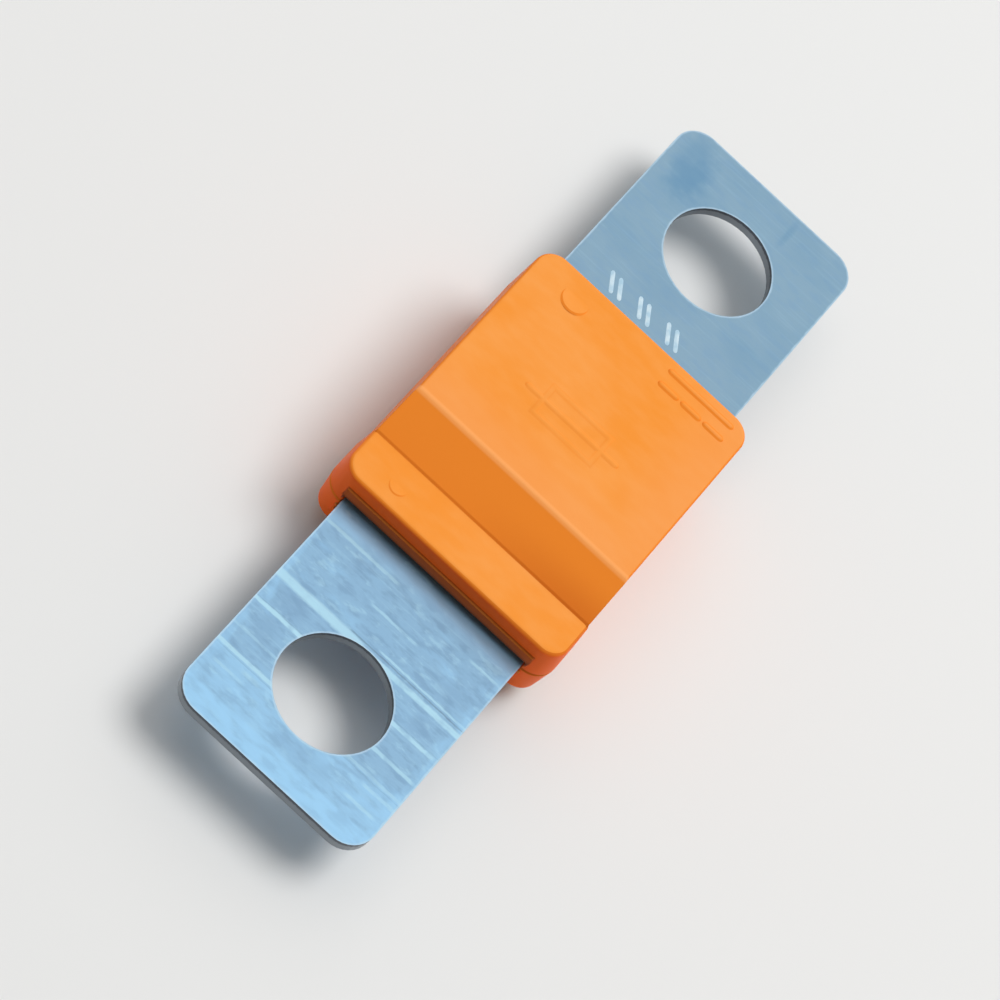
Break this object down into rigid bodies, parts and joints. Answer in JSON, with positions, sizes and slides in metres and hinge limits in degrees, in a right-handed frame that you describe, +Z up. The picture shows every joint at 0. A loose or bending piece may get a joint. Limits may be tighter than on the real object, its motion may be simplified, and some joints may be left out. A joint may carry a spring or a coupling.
{
  "type": "bolt-down strip fuse",
  "caption": "Flat automotive fuse: stamped zinc strip with two round-holed tabs and a necked link inside a stepped two-part moulded body.",
  "frame": {"origin": "centre of the fuse's outline, on the flat underside of its body", "axes": "+X along the strip towards the plain end of the body, +Y across the strip, +Z up from the flat underside"},
  "size_m": [0.04, 0.0122, 0.0058],
  "materials": {
    "strip": "rolled zinc with fine lines across the strip",
    "upper_housing": "orange moulded plastic, satin",
    "lower_housing": "orange moulded plastic, satin"
  },
  "bodies": {
    "root": {"strip": "strip", "upper_housing": "upper_housing", "lower_housing": "lower_housing"}
  },
  "joints": []
}
